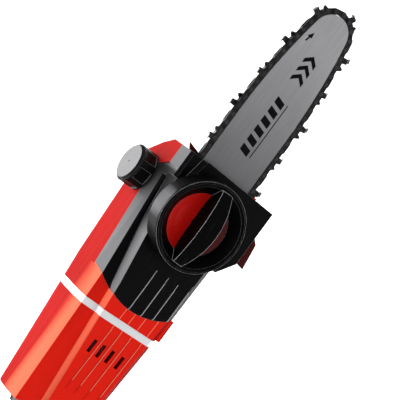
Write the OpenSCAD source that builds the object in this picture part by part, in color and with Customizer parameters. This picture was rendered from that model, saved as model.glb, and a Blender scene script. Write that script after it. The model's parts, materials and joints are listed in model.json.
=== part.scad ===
// Telescoping pole saw, collapsed, in its use posture.
// +X runs along the pole to the bar tip, +Z is up, the clamp knob faces -Y.
// The origin is on the pole's axis at the rear end, in the middle of the mains inlet.

/* [Saw head] */
// Distance from the rear end to the clamp knob's axis
head_x = 1580; // [1560:1:1600]
// Height of the clamp knob's axis above the pole's axis
knob_z = 5; // [3:0.5:6]
// Y of the guide bar's middle plane
bar_y = -34; // [-34.5:0.1:-33.5]
// Thickness of the plastic shells
wall = 3; // [2.5:0.1:3.5]

/* [Guide bar and chain] */
// Half the guide bar's width
bar_half = 30.5; // [30:0.1:30.5]
// Thickness of the guide bar
bar_t = 4.2; // [3.8:0.1:4.4]
// Centre of the bar's nose, ahead of the knob's axis
nose_x = 219; // [218.5:0.1:219.5]
// Radius of the bar's nose
nose_r = 20.5; // [20:0.1:20.5]
// Centre of the drive sprocket, behind the knob's axis
sprocket_x = -56; // [-56.5:0.1:-55.8]
// Number of drive links in the chain
drive_links = 36; // [36]

/* [Pole] */
// Outer diameter of the rear tube
outer_d = 31; // [31]
// Outer diameter of the sliding tube
inner_d = 26; // [26]
// Wall thickness of both tubes
tube_wall = 1.5; // [1.2:0.1:1.5]
// Travel of the sliding tube
travel = 800; // [600:10:800]
// Front end of the rear tube
outer_end = 1170; // [1160:1:1175]

/* [Handles] */
// Radius of the rear grip
grip_r = 20; // [19:0.5:20.5]
// Middle of the front grip
front_grip_x = 720; // [650:5:780]
// Middle of the strap collar
strap_x = 560; // [520:5:600]

/* [Hidden] */
$fn = 64;
fine = 96;
gap = 0.15;
fit = 0.05;

// Chain: pitch circle radii and the outline that the rivets follow
sprocket_pitch_r = 18.2;
rivet_line_z = bar_half + 3.2;
nose_pitch_r = nose_r + 3;
taper_r = 600;
shoulder_r = 60;
shoulder_x = 20;
side_t = 1.3;
taper_run = sqrt(pow(taper_r - nose_pitch_r, 2) - pow(taper_r - rivet_line_z, 2));
taper_x = nose_x - taper_run;
shoulder_z = rivet_line_z - shoulder_r;
tail_gap = sqrt(pow(shoulder_x - sprocket_x, 2) + pow(shoulder_z, 2));
leave_a = atan2(shoulder_z, shoulder_x - sprocket_x) + acos((sprocket_pitch_r - shoulder_r) / tail_gap);
nose_a = atan2(taper_r - rivet_line_z, taper_run);
arc1 = (180 - leave_a) * PI / 180 * sprocket_pitch_r;
run1 = sqrt(pow(tail_gap, 2) - pow(shoulder_r - sprocket_pitch_r, 2));
arc2 = (leave_a - 90) * PI / 180 * shoulder_r;
run2 = taper_x - shoulder_x;
arc3 = (90 - nose_a) * PI / 180 * taper_r;
arc4 = nose_a * PI / 180 * nose_pitch_r;
half_loop = arc1 + run1 + arc2 + run2 + arc3 + arc4;
step = half_loop / drive_links;

// Saw head: how its cross-section changes from the rear to the front
rear_x = -235;
mid_x = -88;
top_x = 24;
rib_z = [4, -11, -24, -38];
rear_rib_z = [5, -6, -18, -31];
slot_z = [10.5, -0.5, -12, -24.5];
cover_r = 75;
cover_x = -29;
front_x = 53;
cover_in = -28.3;
plate_in = -25.6;
tilt_x = -285;
tilt_r = 22;
lock_r = 15;

// Gears
pinion_teeth = 8;
gear_teeth = 32;
tooth_t = 1.3;

// Knob
knob_r = 46.5;
knob_y0 = -45.4;
knob_depth = 23;
dish_r = 31;

// Oil cap
cap_x = 10;
cap_y = 7;
cap_r = 20.25;
cap_z0 = 51.2;
cap_h = 20;

// Handle
handle_len = 300;
handle_seat = 252;
trigger_x = 238;
trigger_z = -13;
lock_x = 222;

function mix(x, x0, v0, x1, v1) = v0 + (v1 - v0) * (x - x0) / (x1 - x0);
function arc(cx, cy, r, a0, a1, n) = [
    for (i = [0:n]) let (a = a0 + (a1 - a0) * i / n) [cx + r * cos(a), cy + r * sin(a)]
];

// Point of the chain's rivet line at distance s from the rear of the sprocket, on the upper run
function upper_run(s) =
    s < arc1 ? on_arc(sprocket_x, 0, sprocket_pitch_r, 180 - s / sprocket_pitch_r * 180 / PI) :
    s < arc1 + run1 ? on_line(on_arc(sprocket_x, 0, sprocket_pitch_r, leave_a), leave_a - 90, s - arc1) :
    s < arc1 + run1 + arc2 ?
        on_arc(shoulder_x, shoulder_z, shoulder_r, leave_a - (s - arc1 - run1) / shoulder_r * 180 / PI) :
    s < arc1 + run1 + arc2 + run2 ? [shoulder_x + s - arc1 - run1 - arc2, rivet_line_z] :
    s < half_loop - arc4 ?
        on_arc(
            taper_x, rivet_line_z - taper_r, taper_r, nose_a + (half_loop - arc4 - s) / taper_r * 180 / PI
        ) :
    on_arc(nose_x, 0, nose_pitch_r, (half_loop - s) / nose_pitch_r * 180 / PI);
function on_arc(cx, cz, r, a) = [cx + r * cos(a), cz + r * sin(a)];
function on_line(p, a, d) = [p[0] + d * cos(a), p[1] + d * sin(a)];
function loop_point(s) =
    s > 2 * half_loop ? loop_point(s - 2 * half_loop) :
    s <= half_loop ? upper_run(s) :
    let (p = upper_run(2 * half_loop - s)) [p[0], -p[1]];

// ---------- helpers ----------

// A flat outline drawn in X and Z, thick from y0 to y1
module xz_plate(y0, y1) {
    translate([0, y1, 0]) rotate([90, 0, 0]) linear_extrude(y1 - y0) children();
}

// A flat outline drawn in Y and Z, thick from x0 to x1
module yz_plate(x0, x1) {
    translate([x0, 0, 0]) rotate([90, 0, 90]) linear_extrude(x1 - x0) children();
}

// A flat outline drawn in X and Y, thick from z0 to z1
module xy_plate(z0, z1) {
    translate([0, 0, z0]) linear_extrude(z1 - z0) children();
}

module rod_x(x0, x1, r) {
    translate([x0, 0, 0]) rotate([0, 90, 0]) cylinder(h = x1 - x0, r = r);
}

module rod_y(y0, y1, r) {
    translate([0, y0, 0]) rotate([-90, 0, 0]) cylinder(h = y1 - y0, r = r);
}

module tube_x(x0, x1, r_out, r_in) {
    difference() {
        rod_x(x0, x1, r_out);
        rod_x(x0 - 1, x1 + 1, r_in);
    }
}

// Turned about the X axis from an outline of [radius, x] points
module turned_x() {
    rotate([0, 90, 0]) rotate_extrude($fn = fine) children();
}

module box(x0, x1, y0, y1, z0, z1) {
    translate([x0, y0, z0]) cube([x1 - x0, y1 - y0, z1 - z0]);
}

module head_place() {
    translate([head_x, 0, 0]) children();
}

// ---------- saw head shape ----------

// A value that runs evenly from the rear to the middle of the head, and from there to the front
function run3(x, rear, middle, front) =
    x < mid_x ? mix(x, rear_x, rear, mid_x, middle) : mix(x, mid_x, middle, top_x, front);

// Upper part of the cross-section at x: a bevel and a steep facet on the knob side, round on the far side
function upper_section(x, t) =
    let (
        top = run3(x, 42.5, 48.5, 51) - t,
        far = run3(x, 36, 43, 42) - t,
        r = run3(x, 33, 22, 12)
    )
    concat(
        [
            [run3(x, -14, -17, -1.5) + t / 2, top],
            [run3(x, -29, -34, -20) + t, run3(x, 37.5, 44.3, 48.5) - t],
            [run3(x, -32, -37, -23) + t, run3(x, 14, 31.8, 44) - t],
            [run3(x, -32, -37, -23) + t, 0],
            [far, 0]
        ],
        arc(far - r, top - r, r, 0, 90, 7)
    );

// Lower part of the cross-section at x, up to the narrow ledge on the knob side
function lower_section(x, t) =
    let (
        side = run3(x, -37, -45, -45) + t,
        far = run3(x, 36, 43, 42) - t,
        low = run3(x, -42, -46, -49) + t,
        r = run3(x, 26, 20, 12)
    )
    concat(
        [
            [run3(x, -32, -36, -23) + t, run3(x, 13.7, 31.9, 48) - t],
            [side, run3(x, 9.6, 28, 45.5) - t],
            [side, low + 8],
            [side + 8, low]
        ],
        arc(far - r, low + r, r, -90, 0, 7),
        [[far, 2]]
    );

module upper_body(t, x0, x1) {
    hull() {
        yz_plate(x0, x0 + 1) polygon(upper_section(x0, t));
        yz_plate(mid_x, mid_x + 0.01) polygon(upper_section(mid_x, t));
    }
    hull() {
        yz_plate(mid_x, mid_x + 0.01) polygon(upper_section(mid_x, t));
        yz_plate(x1 - 1, x1) polygon(upper_section(x1, t));
    }
}

module lower_body(t, x0, x1) {
    hull() {
        yz_plate(x0, x0 + 1) polygon(lower_section(x0, t));
        yz_plate(mid_x, mid_x + 0.01) polygon(lower_section(mid_x, t));
    }
    hull() {
        yz_plate(mid_x, mid_x + 0.01) polygon(lower_section(mid_x, t));
        yz_plate(x1 - 1, x1) polygon(lower_section(x1, t));
    }
}

// Front of the head seen from above: its far corner is cut back in two steps
function front_plan(t) = [
    [20, -25.5 + t], [front_x - t, -25.5 + t], [front_x - t, -5], [44, 12 - t], [30, 31 - t],
    [top_x - 1, 40 - t],
    [20, 40 - t]
];

module front_body(t) {
    xy_plate(-48.5 + t, 51 - t) polygon(front_plan(t));
}

// Outer shape of the head, t in from the surface
module head_body(t) {
    lower_body(t, rear_x + t, top_x);
    upper_body(t, rear_x + t, top_x);
    front_body(t);
}

// Outline of the black panels on the knob side
module cover_outline(grow) {
    translate([cover_x, 0]) circle(r = cover_r + grow, $fn = fine);
    translate([cover_x, -90]) square([110, 180]);
}

// The side panel's edge along the top, seen from above
module shroud_plan(grow) {
    polygon([
        [-110, -20 + grow], [-88, -17 + grow], [24, -1.5 + grow], [33, -23.8 + grow],
        [front_x + 2, -23.8 + grow], [front_x + 2, -60], [-110, -60]
    ]);
}

// Everything of the head that the two black panels stand in for
module panel_room(grow) {
    xz_plate(-60, cover_in + grow) cover_outline(grow);
    box(-8, 60, -60, plate_in, -60, 60);
    intersection() {
        xz_plate(-60, 0) cover_outline(grow);
        xy_plate(26 - grow, 60) shroud_plan(grow);
    }
}

// Shell of the red housing, both halves together
module housing_shell() {
    difference() {
        head_body(0);
        head_body(wall);
        panel_room(gap);
        // room for the oil tank's neck and for the tilt tongue's foot
        translate([cap_x, cap_y, 30]) cylinder(h = 40, r = 15.3);
        rod_x(rear_x - 1, rear_x + 12, 26.2);
        // cooling slots on both sides
        for (z = slot_z) {
            box(-159, -145, -60, 60, z - 2, z + 2);
        }
        // groove for the trim ring
        ring_band(1.2);
        // recesses for the screw heads on the far side
        for (x = screw_xs) translate([x, 8, screw_z]) rotate([-90, 0, 0]) cylinder(h = 60, r = 3.9, $fn = 12);
    }
    // fine ribs on the knob side, carried on from the cover
    for (z = rear_rib_z) side_rib(z);
    screw_lugs();
}

screw_xs = [-210, -136];
screw_z = -35;

// Fine rib along the slanting side, from the cover's edge to behind the cooling slots
module side_rib(z) {
    translate([mid_x, -45, z]) rotate([0, 0, atan2(8, rear_x - mid_x)]) {
        translate([40, -1.5, -0.35]) cube([72, 2, 0.7]);
    }
}

module screw_lugs() {
    for (x = screw_xs) {
        difference() {
            union() {
                translate([x, 0, screw_z]) rod_y(-14, 14, 4.5);
                box(x - 2, x + 2, -14, 14, -43, screw_z - 3);
            }
            translate([x, 0, screw_z]) rod_y(-12.5, 60, 2.1);
        }
    }
    // screw boss under the belly, its hole facing forward
    difference() {
        translate([0, -33, -45.6]) rod_x(-115, -91, 5.2);
        translate([0, -33, -45.6]) rod_x(-104, -90, 2.6);
        head_body(wall);
    }
}

// Band around the body in which the trim ring lies
module ring_band(t) {
    difference() {
        box(-124, -116.5, -60, 60, -60, 60);
        head_body(t);
    }
}

module housing_left() {
    color("#cd1c16") head_place() intersection() {
        housing_shell();
        box(-300, 100, 0, 80, -80, 80);
    }
}

module housing_right() {
    color("#cd1c16") head_place() intersection() {
        housing_shell();
        box(-300, 100, -80, 0, -80, 80);
    }
}

// Long screws that close the housing, their heads on the far side
module head_screws() {
    color("silver") head_place() for (x = screw_xs) translate([x, 0, screw_z]) {
        rod_y(-12, 14.1, 2);
        rod_y(14.1, 16.8, 3.5);
    }
}

module trim_ring() {
    color("#e6e6e8") head_place() difference() {
        intersection() {
            box(-123.9, -116.6, -60, 60, -60, 60);
            head_body(-0.3);
        }
        head_body(1.1);
    }
}

// Black upper side panel with the wide bevel and the steep facet
module side_shroud() {
    color("#222222") head_place() difference() {
        intersection() {
            union() {
                upper_body(0, -110, top_x);
                shroud_front();
            }
            xz_plate(-60, 0) cover_outline(0);
            xy_plate(26, 60) shroud_plan(0);
        }
        upper_body(wall, -120, top_x);
        intersection() {
            xz_plate(-60, cover_in) cover_edge(0.3);
            box(-120, top_x + 0.2, -60, 0, -80, 60);
        }
        translate([cap_x, cap_y, 30]) cylinder(h = 40, r = 15.3);
    }
}

// Sloping front corner of the side panel, a roof over the chain where it leaves the head
module shroud_front() {
    yz_plate(32, front_x) polygon([
        [-23.8, 51], [-38, 46.9], [-41.3, 44], [-41.3, 31], [-39.5, 31], [-39.5, 44.9], [-25.4, 44.9],
        [-25.4, 30], [-23.8, 30]
    ]);
    yz_plate(20, 32) polygon([
        [-1, 51], [-21, 48.4], [-38, 46.9], [-41.3, 44], [-41.3, 36], [-39.5, 36], [-39.5, 44.9],
        [-25.4, 44.9], [-25.4, 30], [-23.8, 30], [-23.8, 46], [-1, 47]
    ]);
}

// Side view of the removable sprocket cover
module cover_edge(grow) {
    intersection() {
        cover_outline(grow);
        polygon([
            [-120, 24 + grow], [-88, 32 + grow], [top_x + grow, 48.1 + grow], [top_x + grow, 38.6 + grow],
            [54, 33.1 + grow], [50 + grow, -62 - grow], [-10, -62 - grow], [-28, -49 - grow],
            [-120, -49 - grow]
        ]);
    }
}

module sprocket_cover() {
    color("#141414") head_place() difference() {
        union() {
            intersection() {
                union() {
                    lower_body(0, -110, top_x);
                    cover_snout();
                }
                xz_plate(-45, cover_in) cover_edge(0);
            }
            for (z = rib_z) rib_on_cover(z);
        }
        xz_plate(-41.5, -20) chain_room();
        translate([0, 0, knob_z]) rod_y(-60, -20, 4.3);
    }
}

module rib_on_cover(z) {
    start = z < -30 ? -52 : -64;
    box(-29 - sqrt(pow(cover_r - 1.5, 2) - z * z), start, -45.6, -43, z - 0.4, z + 0.4);
}

module cover_snout() {
    xz_plate(-45, cover_in) polygon([
        [20, 34], [24, 33.5], [54, 28.4], [50, -62], [-10, -62], [-28, -48.5], [-28, 34]
    ]);
    // chamfered top edge
    hull() {
        yz_plate(top_x - 1, top_x) polygon([[-45, 20], [-45, 33.5], [-41.5, 38.5], [-41.5, 20]]);
        yz_plate(front_x - 1, front_x) polygon([[-45, 20], [-45, 28.6], [-41.5, 33.2], [-41.5, 20]]);
    }
}

// Clear space for the chain inside the cover: round the sprocket, then widening along the bar
module chain_room() {
    room = [[-20, 36.9], [0, 41.2], [top_x, 44.1], [80, 44.8]];
    polygon(concat(
        arc(sprocket_x, 0, 29.6, 102, 258, 14),
        [for (p = room) [p[0], -p[1]]],
        [for (i = [3:-1:0]) room[i]]
    ));
}

// ---------- guide bar and chain ----------

// The bar's outline, d inside the line that the rivets follow
module bar_outline(d) {
    shoulder = on_arc(shoulder_x, shoulder_z, shoulder_r - d, leave_a);
    upper = concat(
        arc(-24, 0, 13.2 - d, 180, 130, 4),
        [on_line(shoulder, leave_a + 90, 24)],
        arc(shoulder_x, shoulder_z, shoulder_r - d, leave_a, 90, 4),
        arc(taper_x, rivet_line_z - taper_r, taper_r - d, 90, nose_a, 12),
        arc(nose_x, 0, nose_pitch_r - d, nose_a, 0, 14)
    );
    polygon(concat(upper, [for (i = [len(upper) - 2:-1:1]) [upper[i][0], -upper[i][1]]]));
}

module guide_bar() {
    color("#8c8c8e") head_place() difference() {
        xz_plate(bar_y - bar_t / 2, bar_y + bar_t / 2) bar_outline(3.2);
        // groove for the drive links' tangs, open all along the edge
        xz_plate(bar_y - 0.8, bar_y + 0.8) difference() {
            bar_outline(0);
            bar_outline(8.6);
        }
        // slot for the clamp stud, and the two tension holes
        xz_plate(bar_y - 5, bar_y + 5) {
            translate([-14, knob_z - 4.1]) square([30, 8.2]);
            translate([-14, knob_z]) circle(r = 4.1);
            translate([16, knob_z]) circle(r = 4.1);
            for (z = [-17, 21]) translate([4, z]) circle(r = 2.6);
        }
    }
}

// Puts a link between rivets i and i + 1, with its length along X
module at_link(i) {
    p = loop_point(i * step);
    q = loop_point((i + 1) * step);
    translate([p[0], bar_y, p[1]]) rotate([0, -atan2(q[1] - p[1], q[0] - p[0]), 0]) children();
}

function link_len(i) = norm(loop_point((i + 1) * step) - loop_point(i * step));

// A flat link of length l from y0: round ends of radius r with a rivet hole in each, and its own outline
module link_plate(y0, l, r) {
    xz_plate(y0, y0 + side_t) difference() {
        union() {
            circle(r = r, $fn = 24);
            translate([l, 0]) circle(r = r, $fn = 24);
            children();
        }
        circle(r = 1.95, $fn = 24);
        translate([l, 0]) circle(r = 1.95, $fn = 24);
    }
}

module drive_link(l) {
    link_plate(-side_t / 2, l, 3.1) polygon([
        [0, 3], [l, 3], [l, -2], [7.2, -4.4], [3.6, -6.6], [1.6, -4], [0, -2]
    ]);
}

module tie_strap(y0, l) {
    link_plate(y0, l, 3.1) translate([0, -2.4]) square([l, 5.6]);
}

// Cutter: side plate with a depth gauge, and an overhanging top plate towards side s
module cutter(s, l) {
    y0 = s > 0 ? side_t / 2 + 0.1 : -side_t * 1.5 - 0.1;
    edge = s > 0 ? y0 : y0 + side_t;
    link_plate(y0, l, 3.1) polygon([
        [-3.1, 0], [-3.1, 5.6], [-2.2, 7.6], [2.4, 8.2], [3, 3.6], [6, 3.4], [7.6, 6.4], [9.6, 6.9],
        [11.4, 3], [12, 0], [l, -2.4], [0, -2.4]
    ]);
    rotate([0, -6, 0]) xy_plate(7.4, 8.5) polygon([
        [-3.4, edge], [-3.4, edge + 3.9 * s], [1.2, edge + 3.9 * s], [2.6, edge]
    ]);
}

link_count = 2 * drive_links;

module chain_drive_links() {
    color("#2a2a2c") head_place() for (i = [0:2:link_count - 1]) at_link(i) drive_link(link_len(i));
}

module chain_tie_straps() {
    near = -side_t * 1.5 - 0.1;
    far = side_t / 2 + 0.1;
    color("#333336") head_place() for (i = [1:2:link_count - 1]) at_link(i) {
        if (i % 8 != 1) tie_strap(near, link_len(i));
        if (i % 8 != 5) tie_strap(far, link_len(i));
    }
}

module chain_cutters_left() {
    color("#77777a") head_place() for (i = [1:8:link_count - 1]) at_link(i) cutter(-1, link_len(i));
}

module chain_cutters_right() {
    color("#77777a") head_place() for (i = [5:8:link_count - 1]) at_link(i) cutter(1, link_len(i));
}

module chain_rivets() {
    color("silver") head_place() for (i = [0:link_count - 1]) {
        p = loop_point(i * step);
        translate([p[0], bar_y, p[1]]) rod_y(-2.5, 2.5, 1.9);
    }
}

// ---------- bar mounting ----------

module bar_pad() {
    color("#1b1b1c") head_place() difference() {
        xz_plate(-31.7, -28.3) polygon([[-24, -19], [50, -26], [50, 26], [-24, 19]]);
        translate([0, 0, knob_z]) rod_y(-40, -20, 4.05);
    }
}

module bar_stud() {
    color("silver") head_place() translate([0, 0, knob_z]) {
        rod_y(-58, -28.1, 4);
        rod_y(-28.1, -24.5, 8);
    }
}

// Toothed plate against the wood, with a hook under the head for pulling branches
module bumper_plate() {
    color("#b81a12") head_place() xz_plate(-28.2, plate_in - 0.1) difference() {
        union() {
            polygon([
                [20, 30], [44, 34], [49, 41], [59, 48], [56, 36], [53, 28], [53, -28], [56, -38], [58, -48],
                [50, -42], [44, -34], [30, -34], [30, -50], [24, -58], [24, -68], [16, -77.5], [-11, -81.5],
                [-8.5, -67], [-6, -46], [20, -46]
            ]);
        }
        translate([0, knob_z]) circle(r = 8.4);
    }
}

// ---------- knob ----------

module clamp_knob() {
    color("#101010") head_place() translate([0, 0, knob_z]) difference() {
        union() {
            rotate([90, 0, 0]) rotate_extrude($fn = fine) polygon([
                [6.6, -knob_y0], [46, -knob_y0], [knob_r, -knob_y0 + 1], [knob_r, -knob_y0 + 20],
                [45.5, -knob_y0 + 22.4], [43.5, -knob_y0 + knob_depth], [40.5, -knob_y0 + 22.4],
                [38.5, -knob_y0 + 20.5], [dish_r + 0.3, -knob_y0 + 12.4], [dish_r + 0.3, -knob_y0 + 4],
                [6.6, -knob_y0 + 4]
            ]);
            knob_wing(0);
        }
        // thread for the clamp stud
        rod_y(-59, -40, 4 + fit);
    }
}

// Outline of the wing grip: straight along one edge, bowed along the other
module wing_outline(grow) {
    polygon(concat(
        [[-40, 5.5 + grow], [41, 6.5 + grow]],
        arc(0.5, 85 - grow, 98.5 + grow * 2, 294.5, 245.5, 10)
    ));
}

module knob_wing(grow) {
    intersection() {
        xz_plate(-90, knob_y0 - 2) intersection() {
            wing_outline(grow);
            circle(r = 40.6 + grow, $fn = fine);
        }
        xy_plate(-40, 40) polygon(concat(
            [[60, -40], [-60, -40]],
            arc(0, 60, 137.5 + grow, 244, 296, 12)
        ));
    }
}

module knob_insert() {
    color("#c4170f") head_place() translate([0, 0, knob_z]) difference() {
        rotate([90, 0, 0]) rotate_extrude($fn = fine) polygon([
            [6.6, -knob_y0 + 4.05], [dish_r + 0.2, -knob_y0 + 4.05], [dish_r + 0.2, -knob_y0 + 12],
            [24, -knob_y0 + 10.6], [14, -knob_y0 + 10], [6.6, -knob_y0 + 10]
        ]);
        knob_wing(0.1);
    }
}

// ---------- gears ----------

// Aluminium case around the gear, closed by its bearing wall towards the chain
module gear_case() {
    color("#a9abad") head_place() translate([sprocket_x, 0, 0]) difference() {
        union() {
            rod_y(-27.5, 16, 32);
            rod_y(-29.2, -27.5, 17);
        }
        rod_y(-17, 12, 29);
        rod_y(-40, 20, 13.1);
        rod_x(-40, -20, 11.1);
    }
}

module spindle() {
    color("silver") head_place() translate([sprocket_x, 0, 0]) {
        rod_y(-40.5, 15, 5);
        rod_y(-16.5, -12, 7);
    }
}

module ball_bearing_y(y0, y1, r_out, r_in) {
    difference() {
        rod_y(y0, y1, r_out);
        rod_y(y0 - 1, y1 + 1, r_in);
    }
}

module spindle_bearings() {
    color("lightgrey") head_place() translate([sprocket_x, 0, 0]) {
        ball_bearing_y(-26, -18, 13.1, 5 + fit);
        ball_bearing_y(7, 15, 13.1, 5 + fit);
    }
}

// Face gear: a disc whose teeth point at the pinion
module face_gear() {
    color("#8b8f92") head_place() translate([sprocket_x, 0, 0]) difference() {
        union() {
            rod_y(-12, -7.9, 27);
            for (i = [0:gear_teeth - 1]) {
                rotate([0, i * 360 / gear_teeth, 0]) box(20.5, 27, -8, -4.9, -tooth_t / 2, tooth_t / 2);
            }
        }
        rod_y(-20, 0, 5);
    }
}

module drive_sprocket() {
    color("#6e6e70") head_place() translate([sprocket_x, bar_y, 0]) difference() {
        union() {
            rod_y(-4.5, 4.5, 7.5);
            rod_y(-4.4, -1.4, 13.6);
            rod_y(1.4, 4.4, 13.6);
            for (i = [0:5]) {
                rotate([0, i * 60 + 15, 0]) xz_plate(-1.5, 1.5) polygon([
                    [0, -4], [8, -3.6], [10.4, 0], [8, 3.6], [0, 4]
                ]);
            }
        }
        rod_y(-9, 9, 5);
    }
}

module sprocket_clip() {
    color("silver") head_place() translate([sprocket_x, 0, 0]) difference() {
        rod_y(-39.9, -38.9, 8);
        rod_y(-41, -30, 5 + fit);
        box(0, 10, -41, -30, -2, 2);
    }
}

module motor_pinion() {
    color("#9a9ea1") head_place() difference() {
        union() {
            rod_x(-83.5, -76.5, 4.4);
            for (i = [0:pinion_teeth - 1]) {
                rotate([(i + 0.5) * 360 / pinion_teeth, 0, 0]) {
                    box(-83.5, -76.5, -7.2, -4, -tooth_t / 2, tooth_t / 2);
                }
            }
        }
        rod_x(-90, -70, 3);
    }
}

// ---------- motor ----------

module armature() {
    color("#7a4a2a") head_place() {
        difference() {
            union() {
                rod_x(-190, -140, 22);
                rod_x(-195, -190, 17);
                rod_x(-140, -134, 17);
                rod_x(-211, -199, 11);
            }
            rod_x(-220, -120, 4);
        }
    }
}

module motor_shaft() {
    color("silver") head_place() {
        rod_x(-229, -106.5, 4);
        rod_x(-106.5, -74, 3);
    }
}

module cooling_fan() {
    color("#303030") head_place() {
        tube_x(-131, -122, 7, 4);
        tube_x(-123.5, -122, 30, 4);
        for (i = [0:8]) rotate([i * 40, 0, 0]) box(-131, -123.4, 9, 30, -0.8, 0.8);
    }
}

module motor_bearings() {
    color("lightgrey") head_place() {
        tube_x(-227, -220, 9.5, 4 + fit);
        tube_x(-118, -111, 9.5, 4 + fit);
    }
}

module stator() {
    color("#5b5f63") head_place() difference() {
        rod_x(-188, -142, 33);
        rod_x(-200, -120, 22.8);
        for (z = [-1, 1]) box(-200, -120, -9, 9, z > 0 ? 22 : -30, z > 0 ? 30 : -22);
        for (s = [-1, 1]) translate([0, 27 * s, 12 * s]) rod_x(-200, -120, 2.2);
    }
}

module carbon_brushes() {
    color("#3a3a3a") head_place() for (s = [-1, 1]) {
        box(-209, -201, s > 0 ? 11.1 : -27, s > 0 ? 27 : -11.1, -3.5, 3.5);
    }
}

// ---------- oil ----------

module oil_tank() {
    color("#d8d8d0") head_place() difference() {
        union() {
            box(-15, 22, -8, 30, 18, 44);
            translate([cap_x, cap_y, 40]) cylinder(h = 25, r = 15);
        }
        box(-13, 20, -6, 28, 20, 42);
        translate([cap_x, cap_y, 40]) cylinder(h = 30, r = 12);
        translate([-5, 0, 15]) cylinder(h = 6, r = 2.5);
    }
}

module cap_seal() {
    color("#222222") head_place() translate([cap_x, cap_y, 65.2]) difference() {
        cylinder(h = 1.6, r = 15);
        translate([0, 0, -1]) cylinder(h = 4, r = 11);
    }
}

// Cap with recessed windows around its wall and a small centre mark
module oil_cap() {
    color("#1c1c1c") head_place() translate([cap_x, cap_y, 0]) difference() {
        union() {
            translate([0, 0, cap_z0]) cylinder(h = cap_h - 2.5, r = cap_r, $fn = fine);
            translate([0, 0, cap_z0 + cap_h - 2.5]) rotate_extrude($fn = fine) {
                polygon([[0, 0], [cap_r, 0], [cap_r - 2.5, 2.5], [0, 2.5]]);
            }
        }
        translate([0, 0, cap_z0 - 1]) cylinder(h = 17, r = 15.3);
        for (i = [0:5]) {
            rotate([0, 0, i * 60 + 17]) {
                box(cap_r - 1.6, cap_r + 3, -6.5, 6.5, cap_z0 + 2, cap_z0 + cap_h - 4.5);
            }
        }
        translate([0, 0, cap_z0 + cap_h - 0.6]) cylinder(h = 2, r = 1);
    }
}

module oil_tube() {
    color("#3a3a3a") head_place() difference() {
        translate([-5, 0, -10]) cylinder(h = 28, r = 2.4);
        translate([-5, 0, -11]) cylinder(h = 30, r = 1.4);
    }
}

// ---------- tilting neck ----------

module tilt_tongue() {
    color("#1e1e1e") head_place() difference() {
        union() {
            // foot inside the housing's rear opening, then a cone, then the tongue
            turned_x() polygon([
                [0, -245], [24, -245], [26, -238], [26, -226], [29, -226], [29, -224], [0, -224]
            ]);
            box(tilt_x, -240, -8, 8, -16, 16);
            translate([tilt_x, 0, 0]) rod_y(-8, 8, tilt_r);
        }
        translate([tilt_x, 0, 0]) rod_y(-20, 20, 5 + fit);
        // curved track for the lock pin, with a deeper hole at each working angle
        translate([tilt_x, 0, 0]) xz_plate(-9, -5.9) polygon(concat(
            arc(0, 0, lock_r + 2.8, 168, 252, 14), arc(0, 0, lock_r - 2.8, 252, 168, 14)
        ));
        for (a = [0:15:60]) {
            translate([tilt_x + lock_r * cos(180 + a), 0, lock_r * sin(180 + a)]) rod_y(-6, -3, 2.6);
        }
        rod_x(-232, -220, 10);
    }
}

module tilt_yoke() {
    color("#262626") head_place() difference() {
        union() {
            translate([tilt_x, 0, 0]) rod_y(-18, -8.3, tilt_r);
            translate([tilt_x, 0, 0]) rod_y(8.3, 18, tilt_r);
            box(tilt_x - 32, tilt_x, -18, -8.3, -15, 15);
            box(tilt_x - 32, tilt_x, 8.3, 18, -15, 15);
            rod_x(tilt_x - 75, tilt_x - 25, 19);
        }
        translate([tilt_x, 0, 0]) rod_y(-20, 20, 5);
        rod_x(tilt_x - 80, tilt_x - 32, inner_d / 2);
        // bore for the lock pin, and a chamber for its flange and spring
        translate([tilt_x - lock_r, 0, 0]) rod_y(-20, -8, 2.5 + fit);
        translate([tilt_x - lock_r, 0, 0]) rod_y(-16.4, -10, 5.6);
        translate([tilt_x, 0, 0]) rod_y(-9, 8.3, tilt_r + 0.8);
    }
}

module tilt_bolt() {
    color("silver") head_place() translate([tilt_x, 0, 0]) {
        rod_y(-18, 22, 5);
        rod_y(18, 22, 9);
        rotate([-90, 0, 0]) translate([0, 0, -21]) cylinder(h = 3, r = 7.6, $fn = 6);
    }
}

// Spring-loaded lock: a pull knob, its pin and the flange that the spring presses on
module tilt_button() {
    color("#c4170f") head_place() translate([tilt_x - lock_r, 0, 0]) {
        rod_y(-28, -19, 6.5);
        rod_y(-20, -6.2, 2.5);
        rod_y(-11.5, -10.1, 5.2);
    }
}

module tilt_spring() {
    color("silver") head_place() translate([tilt_x - lock_r, 0, 0]) difference() {
        rod_y(-16.3, -11.6, 4.6);
        rod_y(-18, -10, 3.4);
    }
}

// ---------- telescoping pole ----------

inner_rear = outer_end - travel - 90;

module inner_tube() {
    color("#b9bcc0") tube_x(inner_rear, head_x + tilt_x - 32, inner_d / 2, inner_d / 2 - tube_wall);
}

module slide_bush() {
    color("#303030") tube_x(inner_rear + 5, inner_rear + 45, outer_d / 2 - tube_wall - fit, inner_d / 2);
}

module outer_tube() {
    color("#2b2d30") tube_x(handle_seat, outer_end, outer_d / 2, outer_d / 2 - tube_wall);
}

module front_bush() {
    color("#303030") tube_x(outer_end - 35, outer_end, outer_d / 2 - tube_wall, inner_d / 2 + fit);
}

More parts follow.
